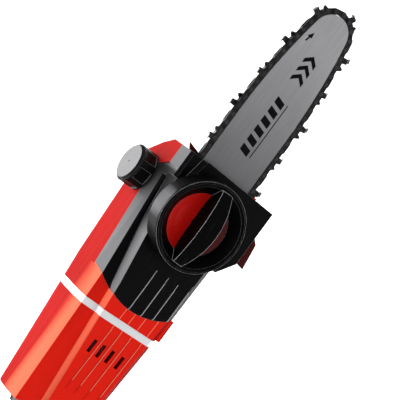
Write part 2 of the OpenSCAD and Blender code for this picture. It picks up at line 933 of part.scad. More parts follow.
// Split collar at the front end of the rear tube, with two ears for the lever
module clamp_collar() {
    color("#161616") difference() {
        union() {
            turned_x() polygon([
                [13.4, outer_end + 22], [19, outer_end + 22], [21.5, outer_end + 18], [23, outer_end - 10],
                [23, outer_end - 40], [21, outer_end - 52], [17, outer_end - 58],
                [outer_d / 2, outer_end - 58],
                [outer_d / 2, outer_end + 0.2], [13.4, outer_end + 0.2]
            ]);
            for (s = [-1, 1]) box(outer_end - 30, outer_end + 8, s > 0 ? 9 : -15, s > 0 ? 15 : -9, 14, 34);
        }
        rod_x(outer_end - 70, outer_end + 0.1, outer_d / 2);
        rod_x(outer_end - 5, outer_end + 30, 13.4);
        // slit that lets the collar close
        box(outer_end - 24, outer_end + 30, -1.5, 1.5, 10, 40);
        translate([outer_end - 8, 0, 28]) rod_y(-20, 20, 3);
    }
}

module clamp_lever() {
    color("#c4170f") difference() {
        union() {
            translate([outer_end - 8, 0, 28]) rod_y(-8.7, 8.7, 4.6);
            xz_plate(-8.7, 8.7) polygon([
                [outer_end - 12, 26], [outer_end - 70, 27.5], [outer_end - 84, 31], [outer_end - 84, 34],
                [outer_end - 66, 31.5], [outer_end - 8, 33]
            ]);
        }
        translate([outer_end - 8, 0, 28]) rod_y(-20, 20, 3 + fit);
    }
}

module lever_pin() {
    color("silver") translate([outer_end - 8, 0, 28]) rod_y(-15.5, 15.5, 3);
}

// ---------- front grip and strap ----------

module front_grip() {
    color("#1a1a1a") turned_x() polygon(concat(
        [[outer_d / 2, front_grip_x - 90], [18, front_grip_x - 90], [21, front_grip_x - 86]],
        [for (i = [-4:4]) each [
            [21, front_grip_x + i * 18 - 6], [20, front_grip_x + i * 18 - 4.5],
            [20, front_grip_x + i * 18 + 4.5], [21, front_grip_x + i * 18 + 6]
        ]],
        [[21, front_grip_x + 86], [18, front_grip_x + 90], [outer_d / 2, front_grip_x + 90]]
    ));
}

module strap_collar() {
    color("#1a1a1a") rotate([180, 0, 0]) difference() {
        union() {
            rod_x(strap_x - 14, strap_x + 14, 20);
            box(strap_x - 7, strap_x + 7, -5, 5, 15, 31);
        }
        rod_x(strap_x - 30, strap_x + 30, outer_d / 2);
        translate([strap_x, 0, 26]) rod_y(-10, 10, 2.6);
    }
}

// Closed ring through the collar's lug, with a round eye for the harness hook
module strap_ring() {
    color("silver") rotate([180, 0, 0]) translate([strap_x, 0, 26]) {
        rod_y(-5.4, 5.4, 2.55);
        difference() {
            xz_plate(-8.6, 8.6) {
                circle(r = 4.5);
                translate([0, 2]) circle(r = 4.5);
                translate([-4.5, 0]) square([9, 14]);
                translate([0, 18]) circle(r = 10);
            }
            box(-8, 8, -5.4, 5.4, -8, 9.5);
            xz_plate(-12, 12) translate([0, 18]) circle(r = 6.5);
            box(-12, 12, -12, -4.4, 9.6, 40);
            box(-12, 12, 4.4, 12, 9.6, 40);
        }
    }
}

// ---------- rear handle ----------

// Handle outline as [radius, x] points: inlet end, waist, grip, switch bulge and collar
handle_curve = [
    [30, 0], [33, 4], [34, 20], [33, 45], [29, 66], [23, 84], [grip_r, 100], [grip_r, 196],
    [22, 206], [27, 218], [29, 232], [29, 262], [26, 280], [21, 294], [19, handle_len]
];

module handle_solid() {
    turned_x() polygon(concat([[0, 0]], handle_curve, [[0, handle_len]]));
}

// Hollow inside, with the tube's seat at the front
module handle_hollow() {
    turned_x() polygon([
        [0, 36], [29, 36], [26, 62], [19, 84], [grip_r - wall, 100], [grip_r - wall, 196], [24, 218],
        [26, 232], [26, 247], [outer_d / 2, handle_seat], [outer_d / 2, handle_len + 1], [0, handle_len + 1]
    ]);
    turned_x() polygon([[0, -1], [25, -1], [25, 20], [0, 20]]);
    rod_x(19, 40, 24);
}

// Finger guard under the grip, with the cord hook behind it
module guard_outline() {
    difference() {
        union() {
            translate([150, -70]) square([80, 60]);
            translate([150, -45]) circle(r = 25);
            translate([230, -45]) circle(r = 25);
            translate([125, -45]) square([130, 30]);
        }
        translate([150, -65]) square([80, 53]);
        translate([150, -45]) circle(r = 20);
        translate([230, -45]) circle(r = 20);
        translate([130, -45]) square([120, 33]);
    }
}

module cord_hook_outline() {
    difference() {
        translate([50, -44]) circle(r = 16);
        translate([50, -44]) circle(r = 11);
        translate([50, -62]) square([30, 22]);
    }
}

module handle_shell() {
    difference() {
        union() {
            handle_solid();
            xz_plate(-7, 7) guard_outline();
            xz_plate(-6, 6) cord_hook_outline();
        }
        handle_hollow();
        // slot for the trigger and window for the lock-off button
        box(196, 250, -6.3, 6.3, -36, -10);
        box(lock_x - 10.3, lock_x + 10.3, -5.3, 5.3, 10, 40);
        for (x = handle_screw_xs) translate([x, 0, 0]) rod_y(-50, 50, 1.8);
    }
    for (x = handle_screw_xs) difference() {
        translate([x, 0, 0]) rod_y(-24, 24, 4);
        translate([x, 0, 0]) rod_y(-50, 50, 1.8);
        difference() {
            rod_x(x - 10, x + 10, 60);
            rod_x(x - 11, x + 11, x < 100 ? 24 : 17.5);
        }
    }
}

handle_screw_xs = [72, 120, 168];

module handle_left() {
    color("#1d1d1f") intersection() {
        handle_shell();
        box(-10, 320, 0, 80, -120, 80);
    }
}

module handle_right() {
    color("#1d1d1f") intersection() {
        handle_shell();
        box(-10, 320, -80, 0, -120, 80);
    }
}

module grip_sleeve() {
    color("#c4170f") difference() {
        turned_x() polygon([
            [grip_r + fit, 104], [grip_r + 1.6, 106], [grip_r + 1.6, 190], [grip_r + fit, 192]
        ]);
        xz_plate(-7.2, 7.2) translate([100, -60]) square([100, 50]);
    }
}

module trigger() {
    color("#c4170f") difference() {
        union() {
            xz_plate(-6, 6) polygon(concat(
                [[trigger_x + 6, trigger_z + 5], [trigger_x + 6, -22]],
                arc(trigger_x + 18, -58, 38, 118, 160, 8),
                [[trigger_x - 25, -44], [trigger_x - 36, -30], [trigger_x - 38, -14]]
            ));
        }
        translate([trigger_x, 0, trigger_z]) rod_y(-10, 10, 2 + fit);
    }
}

module trigger_spring() {
    color("silver") translate([trigger_x - 24, 0, -11.4]) difference() {
        cylinder(h = 4.8, r = 3.4);
        translate([0, 0, -1]) cylinder(h = 9, r = 2.4);
    }
}

module lock_off() {
    color("#c4170f") {
        box(lock_x - 10, lock_x + 10, -5, 5, 12, 31);
        box(lock_x - 13, lock_x + 13, -5, 5, 16, 18);
    }
}

module lock_spring() {
    color("silver") translate([lock_x, 0, 6.4]) difference() {
        cylinder(h = 5.5, r = 3.4);
        translate([0, 0, -1]) cylinder(h = 9, r = 2.4);
    }
}

// Switch block, with the trigger's hinge pin through its cheeks
module power_switch() {
    color("#3c3c3c") {
        box(196, 232, -9, 9, -6.5, 6.2);
        for (s = [-1, 1]) box(232, 246, s > 0 ? 6.6 : -9, s > 0 ? 9 : -6.6, -18, 6.2);
        translate([trigger_x, 0, trigger_z]) rod_y(-9, 9, 2);
    }
}

module mains_inlet() {
    color("#0f0f10") difference() {
        union() {
            rod_x(2, 19.9, 24.9);
            rod_x(19, 38, 23.9);
        }
        rod_x(-1, 26, 18);
        for (s = [-1, 0, 1]) translate([0, 9 * s, s == 0 ? -7 : 2]) rod_x(20, 45, 2);
    }
}

module inlet_pins() {
    color("#c9a24a") for (s = [-1, 0, 1]) translate([0, 9 * s, s == 0 ? -7 : 2]) rod_x(6, 44, 2);
}

module coiled_lead() {
    color("#111111") difference() {
        rod_x(inner_rear + 60, head_x + tilt_x - 70, 8.5);
        rod_x(inner_rear, head_x, 4.5);
    }
}

housing_left();
housing_right();
side_shroud();
sprocket_cover();
trim_ring();
head_screws();
bumper_plate();
guide_bar();
chain_drive_links();
chain_tie_straps();
chain_cutters_left();
chain_cutters_right();
chain_rivets();
bar_pad();
bar_stud();
clamp_knob();
knob_insert();
gear_case();
spindle();
spindle_bearings();
face_gear();
drive_sprocket();
sprocket_clip();
motor_pinion();
armature();
motor_shaft();
cooling_fan();
motor_bearings();
stator();
carbon_brushes();
oil_tank();
cap_seal();
oil_cap();
oil_tube();
tilt_tongue();
tilt_yoke();
tilt_bolt();
tilt_button();
tilt_spring();
inner_tube();
slide_bush();
outer_tube();
front_bush();
clamp_collar();
clamp_lever();
lever_pin();
front_grip();
strap_collar();
strap_ring();
handle_left();
handle_right();
grip_sleeve();
trigger();
trigger_spring();
lock_off();
lock_spring();
power_switch();
mains_inlet();
inlet_pins();
coiled_lead();
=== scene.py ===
import sys
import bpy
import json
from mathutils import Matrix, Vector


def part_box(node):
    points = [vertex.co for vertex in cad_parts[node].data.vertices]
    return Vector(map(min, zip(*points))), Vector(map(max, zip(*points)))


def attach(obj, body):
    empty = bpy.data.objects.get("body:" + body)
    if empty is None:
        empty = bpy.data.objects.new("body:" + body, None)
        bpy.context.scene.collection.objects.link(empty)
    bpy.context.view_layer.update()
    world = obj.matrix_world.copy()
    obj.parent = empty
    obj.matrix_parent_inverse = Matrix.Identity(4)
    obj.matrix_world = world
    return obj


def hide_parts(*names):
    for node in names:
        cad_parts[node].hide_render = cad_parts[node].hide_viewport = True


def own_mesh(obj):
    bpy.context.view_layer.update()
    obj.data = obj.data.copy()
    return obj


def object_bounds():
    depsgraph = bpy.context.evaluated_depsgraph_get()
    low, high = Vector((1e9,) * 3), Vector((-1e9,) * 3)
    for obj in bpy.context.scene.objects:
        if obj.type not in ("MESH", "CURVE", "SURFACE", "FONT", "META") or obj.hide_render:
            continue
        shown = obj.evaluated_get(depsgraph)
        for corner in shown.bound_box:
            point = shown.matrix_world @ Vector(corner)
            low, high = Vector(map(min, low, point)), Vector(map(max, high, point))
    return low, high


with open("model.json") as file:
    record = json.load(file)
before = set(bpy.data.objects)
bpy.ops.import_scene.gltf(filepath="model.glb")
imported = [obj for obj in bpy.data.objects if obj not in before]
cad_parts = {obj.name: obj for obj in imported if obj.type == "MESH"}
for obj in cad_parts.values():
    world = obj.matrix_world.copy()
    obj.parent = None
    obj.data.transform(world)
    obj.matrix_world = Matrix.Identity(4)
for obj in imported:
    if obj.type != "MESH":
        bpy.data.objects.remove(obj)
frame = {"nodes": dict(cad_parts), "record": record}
cad_box = [list(map(float, corner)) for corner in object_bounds()]

import json
import math

import bmesh
import bpy
from mathutils import Matrix, Vector

nodes = frame["nodes"]
record = frame["record"]
MM = 0.001
scene = bpy.context.scene


def centre(node):
    low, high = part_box(node)
    return (low + high) / 2


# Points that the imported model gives: the head's origin, which lies under the knob's axis, and the
# bar's middle plane
KNOB_HEIGHT = 5 * MM
knob = centre("clamp_knob")
HEAD = Vector((knob.x, 0, knob.z - KNOB_HEIGHT))
BAR_Y = centre("guide_bar").y
# How far the black panels reach along the pole
PANEL_REAR, PANEL_FRONT = HEAD.x - 130 * MM, HEAD.x + 40 * MM


def at(x, y, z):
    """A point given in millimetres from the saw head's own origin."""
    return Vector((HEAD.x + x * MM, y * MM, HEAD.z + z * MM))


# ---------------------------------------------------------------- camera

ELEVATION, AZIMUTH, ROLL = map(math.radians, (28.5, 0.8, 54.0))
# Lens and sensor in millimetres, and the width in metres that the picture shows at the bar
LENS, SENSOR, FIELD = 150, 36, 0.381
# The point of the bar's middle plane in the middle of the picture
AIM = at(20, BAR_Y / MM, 6)


def make_camera():
    """A long lens seen from the knob side and above, rolled so that the bar points up to the right."""
    level_right = Vector((math.cos(AZIMUTH), math.sin(AZIMUTH), 0))
    level_back = Vector((math.sin(AZIMUTH), -math.cos(AZIMUTH), 0))
    back = level_back * math.cos(ELEVATION) + Vector((0, 0, math.sin(ELEVATION)))
    level_up = back.cross(level_right)
    right = level_right * math.cos(ROLL) - level_up * math.sin(ROLL)
    up = level_right * math.sin(ROLL) + level_up * math.cos(ROLL)
    place = AIM + back * (FIELD * LENS / SENSOR)
    data = bpy.data.cameras.new("camera")
    data.lens, data.sensor_width = LENS, SENSOR
    data.clip_end = 100
    cam = bpy.data.objects.new("camera", data)
    scene.collection.objects.link(cam)
    cam.matrix_world = Matrix.Translation(place) @ Matrix((right, up, back)).transposed().to_4x4()
    scene.camera = cam


make_camera()


# ---------------------------------------------------------------- light

def area(name, place, aim, width, height, power):
    """A white rectangular lamp, sizes in metres and power in watts."""
    data = bpy.data.lights.new(name, "AREA")
    data.shape, data.size, data.size_y = "RECTANGLE", width, height
    data.energy = power
    lamp = bpy.data.objects.new(name, data)
    scene.collection.objects.link(lamp)
    lamp.location = place
    lamp.rotation_euler = (aim - place).to_track_quat("-Z", "Y").to_euler()


scene.view_settings.view_transform = "Standard"

# Softboxes that the upward faces mirror, a low one behind the saw and one overhead, in two
# places: over the head and over the middle of the pole
SOFTBOX_SPACING = 1.25
for foot in (HEAD, HEAD - Vector((SOFTBOX_SPACING, 0, 0))):
    area("low_softbox", foot + Vector((0, 1.5, 0.82)), foot, width=1.2, height=0.7, power=16)
    area("top_softbox", foot + Vector((0, 0.38, 1.5)), foot, width=1.2, height=0.8, power=15)
area("front_fill", HEAD + Vector((-0.3, -1.5, 1.5)), HEAD, width=1.2, height=1.2, power=9)
area("tip_fill", HEAD + Vector((1.4, -0.4, 0.9)), HEAD + Vector((0.1, -0.1, -0.1)),
     width=0.9, height=0.9, power=3)
area("floor_wash", HEAD + Vector((-0.6, 1.9, 1.3)), HEAD + Vector((-0.6, 1.5, -0.5)),
     width=2.6, height=2.0, power=60)

ROOM_LIGHT = 0.45
world = bpy.data.worlds.new("studio")
scene.world = world
world.use_nodes = True
background = world.node_tree.nodes["Background"]
background.inputs["Color"].default_value = (1, 1, 1, 1)
background.inputs["Strength"].default_value = ROOM_LIGHT


# ---------------------------------------------------------------- materials

def linear(rgb):
    """An sRGB colour of 0 to 255 as Blender's linear values."""
    out = []
    for c in rgb:
        c /= 255
        out.append(c / 12.92 if c <= 0.04045 else ((c + 0.055) / 1.055) ** 2.4)
    return (*out, 1)


# Y below which a face belongs to the head's knob side
KNOB_SIDE = -20 * MM


class Surface:
    """A Principled material built node by node, in object coordinates (metres)."""

    def __init__(self, name, rgb, rough, metal=0.0, coat=0.0, coat_rough=0.1, spec=0.5):
        self.mat = bpy.data.materials.new(name)
        self.mat.use_nodes = True
        self.tree = self.mat.node_tree
        self.shader = self.tree.nodes["Principled BSDF"]
        self.shader.inputs["Metallic"].default_value = metal
        self.shader.inputs["Roughness"].default_value = rough
        self.shader.inputs["Coat Weight"].default_value = coat
        self.shader.inputs["Coat Roughness"].default_value = coat_rough
        self.shader.inputs["Specular IOR Level"].default_value = spec
        self.place = self.new("ShaderNodeTexCoord").outputs["Object"]
        rgb_node = self.new("ShaderNodeRGB")
        rgb_node.outputs[0].default_value = linear(rgb)
        self.colour = rgb_node.outputs[0]
        self.rough = None
        self.normal = None

    def new(self, kind, **values):
        """A new shader node with its settings."""
        node = self.tree.nodes.new(kind)
        for key, value in values.items():
            setattr(node, key, value)
        return node

    def link(self, a, b):
        self.tree.links.new(a, b)

    def stretch(self, scale):
        """The object coordinates, scaled per axis."""
        m = self.new("ShaderNodeMapping")
        self.link(self.place, m.inputs["Vector"])
        m.inputs["Scale"].default_value = scale
        return m.outputs["Vector"]

    def noise(self, scale, detail=3.0, stretch=(1, 1, 1), rough=0.55):
        """Cloudy noise; scale counts its features per metre."""
        n = self.new("ShaderNodeTexNoise")
        n.inputs["Scale"].default_value = scale
        n.inputs["Detail"].default_value = detail
        n.inputs["Roughness"].default_value = rough
        self.link(self.stretch(stretch), n.inputs["Vector"])
        return n.outputs["Fac"]

    def cells(self, scale):
        """The distance to scattered points, for grain."""
        n = self.new("ShaderNodeTexVoronoi")
        n.inputs["Scale"].default_value = scale
        self.link(self.place, n.inputs["Vector"])
        return n.outputs["Distance"]

    def bands(self, scale, axis, profile="SIN", stretch=(1, 1, 1), distortion=0.0):
        """Parallel stripes across an axis."""
        n = self.new("ShaderNodeTexWave", wave_type="BANDS", bands_direction=axis, wave_profile=profile)
        n.inputs["Scale"].default_value = scale
        n.inputs["Distortion"].default_value = distortion
        self.link(self.stretch(stretch), n.inputs["Vector"])
        return n.outputs["Fac"]

    def ramp(self, fac, *stops):
        """Maps fac through (position, value) stops, where a value is a number or an sRGB colour."""
        r = self.new("ShaderNodeValToRGB")
        points = r.color_ramp.elements
        while len(points) < len(stops):
            points.new(0.5)
        for p, (pos, value) in zip(points, stops):
            p.position = pos
            p.color = (value, value, value, 1) if isinstance(value, (int, float)) else linear(value)
        self.link(fac, r.inputs["Fac"])
        return r.outputs["Color"]

    def math(self, operation, a, b):
        """One operation on two values, each a number or a node's output."""
        n = self.new("ShaderNodeMath", operation=operation)
        for socket, value in zip(n.inputs, (a, b)):
            if isinstance(value, (int, float)):
                socket.default_value = value
            else:
                self.link(value, socket)
        return n.outputs[0]

    def tint(self, fac, rgb, strength=1.0):
        """Mixes a colour over the base where fac is 1."""
        mix = self.new("ShaderNodeMix", data_type="RGBA")
        if strength != 1.0:
            fac = self.math("MULTIPLY", fac, strength)
        self.link(fac, mix.inputs["Factor"])
        self.link(self.colour, mix.inputs["A"])
        mix.inputs["B"].default_value = linear(rgb)
        self.colour = mix.outputs["Result"]

    def vary_rough(self, fac, low, high):
        """Roughness from low to high as fac goes from 0 to 1."""
        mapped = self.new("ShaderNodeMapRange")
        mapped.inputs["To Min"].default_value = low
        mapped.inputs["To Max"].default_value = high
        self.link(fac, mapped.inputs["Value"])
        self.rough = mapped.outputs["Result"]

    def bump(self, height, distance, strength):
        """Relief of a height in metres, over any relief already there."""
        b = self.new("ShaderNodeBump")
        b.inputs["Strength"].default_value = strength
        b.inputs["Distance"].default_value = distance
        self.link(height, b.inputs["Height"])
        if self.normal is not None:
            self.link(self.normal, b.inputs["Normal"])
        self.normal = b.outputs["Normal"]

    def edge_mask(self, radius, low=0.02, high=0.18):
        """1 on convex and concave edges, fading out within radius."""
        bevel = self.new("ShaderNodeBevel", samples=6)
        bevel.inputs["Radius"].default_value = radius
        geometry = self.new("ShaderNodeNewGeometry")
        dot = self.new("ShaderNodeVectorMath", operation="DOT_PRODUCT")
        self.link(bevel.outputs["Normal"], dot.inputs[0])
        self.link(geometry.outputs["Normal"], dot.inputs[1])
        turned = self.math("SUBTRACT", 1.0, dot.outputs["Value"])
        return self.ramp(turned, (low, 0.0), (high, 1.0))

    def facing(self, direction, low=0.93, high=0.985):
        """1 on surfaces that face a direction given in the tool's frame."""
        geometry = self.new("ShaderNodeNewGeometry")
        turn = self.new("ShaderNodeVectorTransform", vector_type="NORMAL",
                        convert_from="WORLD", convert_to="OBJECT")
        self.link(geometry.outputs["Normal"], turn.inputs[0])
        dot = self.new("ShaderNodeVectorMath", operation="DOT_PRODUCT")
        self.link(turn.outputs[0], dot.inputs[0])
        dot.inputs[1].default_value = Vector(direction).normalized()
        return self.ramp(dot.outputs["Value"], (low, 0.0), (high, 1.0))

    def along(self, axis, low, high, *stops):
        """A value through the (position, value) stops, from low to high along X, Y or Z."""
        split = self.new("ShaderNodeSeparateXYZ")
        self.link(self.place, split.inputs[0])
        mapped = self.new("ShaderNodeMapRange")
        mapped.inputs["From Min"].default_value = low
        mapped.inputs["From Max"].default_value = high
        self.link(split.outputs[axis], mapped.inputs["Value"])
        return self.ramp(mapped.outputs["Result"], *stops)

    def lines_at(self, heights, half_width, x_low, x_high):
        """1 within half_width of each height, on the knob side between two positions along the pole."""
        split = self.new("ShaderNodeSeparateXYZ")
        self.link(self.place, split.inputs[0])
        total = None
        for z in heights:
            away = self.math("ABSOLUTE", self.math("SUBTRACT", split.outputs["Z"], z), 0)
            near = self.math("LESS_THAN", away, half_width)
            total = near if total is None else self.math("MAXIMUM", total, near)
        inside = self.math("MULTIPLY", self.math("GREATER_THAN", split.outputs["X"], x_low),
                           self.math("LESS_THAN", split.outputs["X"], x_high))
        knob_side = self.math("LESS_THAN", split.outputs["Y"], KNOB_SIDE)
        return self.math("MULTIPLY", self.math("MULTIPLY", total, inside), knob_side)

    def done(self):
        """Joins the layers to the shader and returns the material."""
        s = self.shader.inputs
        self.link(self.colour, s["Base Color"])
        if self.rough is not None:
            self.link(self.rough, s["Roughness"])
        if self.normal is not None:
            self.link(self.normal, s["Normal"])
        return self.mat


def moulded(name, rgb, wear_and_highlight_rgb, rough, metal=0.0, coat=0.0, edge_wear_and_highlight=0.5, grain=1.0, spec=0.5, edge=0.5 * MM,
            scuff=0.05, painted_highlights=(), painted_shadow=None, rib_highlights=None):
    """Moulded plastic: fine spark-eroded grain, slight drift in tone, faint scuffs, and light edges that are
    part rubbed plastic and part painted highlight.

    sheens lists faces that get a painted highlight, as a direction, a colour and, if it varies, the values
    of along; ribs is the colour of painted highlight lines along fine rib edges and the values of lines_at;
    soot is the colour of a painted shadow, the height where it is full and the height above it where it
    ends."""
    s = Surface(name, rgb, rough, metal=metal, coat=coat, spec=spec)
    drift = s.noise(14, detail=2)
    s.tint(s.ramp(drift, (0.35, 0.0), (0.7, 1.0)), tuple(int(c * 0.86) for c in rgb), strength=0.55)
    # Edges tinted lighter: part rubbed plastic, part painted highlight
    if edge_wear_and_highlight:
        s.tint(s.edge_mask(edge), wear_and_highlight_rgb, strength=edge_wear_and_highlight)
    scuffs = s.ramp(s.noise(60, detail=6, stretch=(1, 1, 6), rough=0.7), (0.60, 0.0), (0.74, 1.0))
    s.tint(scuffs, wear_and_highlight_rgb, strength=scuff)
    # Painted highlights on the faces that look in the given directions, optionally varying along an axis
    for direction, painted_highlight_rgb, *where in painted_highlights:
        mask = s.facing(direction)
        if where:
            mask = s.math("MULTIPLY", mask, s.along(*where))
        s.tint(mask, painted_highlight_rgb)
    # A painted shadow, full below one height and fading out above another
    if painted_shadow:
        colour, low, high = painted_shadow
        s.tint(s.along("Z", low, high, (0.0, 1.0), (1.0, 0.0)), colour, strength=0.85)
    # Painted highlight lines along fine rib edges
    if rib_highlights:
        colour, lines = rib_highlights
        s.tint(s.lines_at(*lines), colour, strength=0.85)
    clouds = s.noise(35, detail=4)
    s.vary_rough(s.math("ADD", s.math("MULTIPLY", scuffs, 0.35), s.math("MULTIPLY", clouds, 0.65)),
                 rough - 0.08, rough + 0.12)
    s.bump(s.cells(1500), 0.03 * MM * grain, strength=0.5)
    return s.done()


LINES_ALONG_X, LINES_ALONG_Y = (0.02, 1, 1), (1, 0.02, 1)


def brushed(name, rgb, rough, stretch=LINES_ALONG_X, dirt=0.15):
    """Rolled or brushed metal: fine lines along one direction, with light smudges."""
    s = Surface(name, rgb, rough, metal=1.0)
    lines = s.noise(1500, stretch=stretch, rough=0.6)
    s.tint(s.ramp(lines, (0.35, 1.0), (0.62, 0.0)), tuple(int(c * 0.78) for c in rgb), strength=0.5)
    smudge = s.ramp(s.noise(30, detail=5), (0.52, 0.0), (0.75, 1.0))
    s.tint(smudge, (60, 58, 54), strength=dirt)
    s.vary_rough(s.math("ADD", s.math("MULTIPLY", lines, 0.6), s.math("MULTIPLY", smudge, 0.4)),
                 rough - 0.08, rough + 0.16)
    s.bump(lines, 0.012 * MM, strength=0.4)
    return s.done()


def rubbery(name, rgb, rough):
    """Soft rubber: pale patches over a fine, dull grain."""
    s = Surface(name, rgb, rough, spec=0.35)
    pale = tuple(c + 18 for c in rgb)
    s.tint(s.ramp(s.noise(90, detail=5), (0.4, 0.0), (0.72, 1.0)), pale, strength=0.5)
    s.bump(s.cells(1100), 0.05 * MM, strength=0.6)
    s.bump(s.noise(250), 0.05 * MM, strength=0.4)
    return s.done()


# Directions of the faces that get a painted highlight
UP, SIDE, LEDGE, BEVEL = (0, 0, 1), (0, -1, 0), (0, -0.4, 0.917), (0, -0.24, 0.97)
# Painted highlight lines along the head's fine rib edges: half their width, and their heights on the
# cover and on the housing
RIB_HIGHLIGHT_HALF = 0.3 * MM
COVER_RIB_HIGHLIGHTS = [HEAD.z + z * MM for z in (4, -11, -24, -38)]
BODY_RIB_HIGHLIGHTS = [HEAD.z + z * MM for z in (5, -6, -18, -31)]
# Red housing: painted highlights on its knob-side faces and its ledge, and painted highlight lines along its
# rib edges
red = moulded("red_plastic_moulded", (158, 13, 9), (224, 96, 80), rough=0.5, edge_wear_and_highlight=0.35, spec=0.01,
              edge=0.6 * MM, painted_highlights=((SIDE, (226, 34, 22)), (LEDGE, (240, 106, 78))),
              rib_highlights=((236, 150, 120), (BODY_RIB_HIGHLIGHTS, RIB_HIGHLIGHT_HALF, HEAD.x - 190 * MM, HEAD.x - 80 * MM)))
# Red insert: a painted shadow over its lower part, where the wing shades it
insert_red = moulded("red_insert", (212, 20, 14), (240, 110, 90), rough=0.3, coat=0.1, edge_wear_and_highlight=0.5, spec=0.15,
                     painted_shadow=((34, 7, 5), HEAD.z - 12 * MM, HEAD.z + 10 * MM))
# Shroud: a painted highlight on its bevel faces, strong at the rear, fading along the pole, strong again at
# the front
black = moulded("black_plastic_moulded", (9, 9, 10), (150, 150, 152), rough=0.34, edge_wear_and_highlight=0.5, spec=0.04,
               painted_highlights=((BEVEL, (112, 112, 114), "X", PANEL_REAR, PANEL_FRONT, (0.0, 1.0), (0.45, 0.85),
                        (0.65, 0.6), (0.82, 0.3), (0.9, 0.1), (0.93, 0.1), (0.95, 1.0)),))
# Oil cap: a painted highlight on its upward faces
cap_black = moulded("black_cap", (10, 10, 11), (190, 190, 192), rough=0.36, edge_wear_and_highlight=0.6, spec=0.1,
                    painted_highlights=((UP, (86, 86, 88)),))
# Sprocket cover: a painted highlight on its ledge that fades out towards the front, and painted highlight
# lines along its rib edges
cover_black = moulded("black_cover", (4, 4, 5), (190, 190, 192), rough=0.4, edge_wear_and_highlight=0.6, spec=0.05, scuff=0.02,
                      painted_highlights=((LEDGE, (124, 124, 126), "X", PANEL_REAR, PANEL_FRONT,
                               (0.0, 1.0), (0.55, 0.9), (0.66, 0.15), (1.0, 0.1)),),
                      rib_highlights=((190, 190, 192), (COVER_RIB_HIGHLIGHTS, RIB_HIGHLIGHT_HALF, HEAD.x - 120 * MM, HEAD.x - 58 * MM)))
# Knob: a painted highlight on the upward faces near the top of its ring, and light edges that are part
# rubbed plastic, part painted highlight
knob_black = moulded("black_gloss_knob", (6, 6, 7), (235, 235, 237), rough=0.34, edge_wear_and_highlight=0.85, spec=0.02,
                     edge=0.8 * MM, scuff=0.01,
                     painted_highlights=((UP, (86, 86, 88), "Z", HEAD.z + 30 * MM, HEAD.z + 45 * MM,
                              (0.0, 0.0), (1.0, 1.0)),))
handle_black = moulded("black_handle", (15, 15, 16), (110, 110, 112), rough=0.5, edge_wear_and_highlight=0.3, grain=2.2,
                       spec=0.25)
white = moulded("white_trim", (236, 237, 240), (250, 250, 250), rough=0.32, edge_wear_and_highlight=0.0, coat=0.2)
trigger_red = moulded("red_trigger", (164, 15, 10), (214, 90, 76), rough=0.42, edge_wear_and_highlight=0.35, spec=0.08)


def make_bar_steel():
    """Ground steel bar: fine lines along its length, and a patchy painted shade that darkens it towards the
    saw head.
    """
    s = Surface("bar_ground_steel", (158, 158, 160), rough=0.42, metal=0.6)
    lines = s.noise(2600, detail=4, stretch=(0.012, 1, 1), rough=0.65)
    s.tint(s.ramp(lines, (0.36, 1.0), (0.62, 0.0)), (112, 112, 114), strength=0.45)
    # Painted shade: darker towards the saw head, in patches
    near_head = s.along("X", HEAD.x + 30 * MM, HEAD.x + 205 * MM, (0.0, 1.0), (1.0, 0.0))
    painted_shade = s.math("MULTIPLY", near_head, s.ramp(s.noise(9), (0.2, 0.75), (0.8, 1.0)))
    s.tint(painted_shade, (60, 60, 62), strength=0.9)
    smudge = s.ramp(s.noise(45, detail=6, stretch=(0.3, 1, 1), rough=0.7), (0.60, 0.0), (0.78, 1.0))
    s.tint(smudge, (84, 80, 74), strength=0.22)
    s.vary_rough(lines, 0.3, 0.5)
    s.bump(lines, 0.01 * MM, strength=0.4)
    return s.done()


def oily(name, rgb, high, rough, metal, painted_highlight_rgb=None):
    """Dark oiled chain steel: mottled, with rubbed edges, and optionally a painted highlight on the faces
    turned upward.
    """
    s = Surface(name, rgb, rough, metal=metal, coat=0.05, coat_rough=0.25, spec=0.15)
    mottle = s.ramp(s.noise(260, detail=5, rough=0.7), (0.42, 0.0), (0.66, 1.0))
    s.tint(mottle, high, strength=0.35)
    s.tint(s.edge_mask(0.3 * MM, low=0.05, high=0.3), high, strength=0.4)
    if painted_highlight_rgb:
        s.tint(s.facing(UP, low=0.8, high=0.95), painted_highlight_rgb)
    s.vary_rough(mottle, rough - 0.1, rough + 0.22)
    s.bump(s.noise(900, detail=4), 0.04 * MM, strength=0.5)
    return s.done()


def make_grip_rubber():
    """Soft grip with a moulded diamond pattern of crossing grooves."""
    s = Surface("grip_rubber_diamond", (17, 17, 18), rough=0.7, spec=0.25)
    s.tint(s.ramp(s.noise(90, detail=5), (0.4, 0.0), (0.72, 1.0)), (34, 34, 35), strength=0.5)
    grooves = s.math("MINIMUM", s.bands(70, "DIAGONAL"), s.bands(70, "DIAGONAL", stretch=(-1, 1, 1)))
    raised = s.ramp(grooves, (0.05, 0.0), (0.22, 1.0))
    # The grooves are painted darker: painted shade in the recesses
    s.tint(s.ramp(grooves, (0.0, 1.0), (0.2, 0.0)), (6, 6, 6), strength=0.7)
    s.bump(raised, 0.5 * MM, strength=0.8)
    s.bump(s.cells(1100), 0.05 * MM, strength=0.5)
    return s.done()


bar_steel = make_bar_steel()
chain_dark = oily("chain_oiled_steel", (7, 7, 8), (62, 61, 58), rough=0.44, metal=0.1)
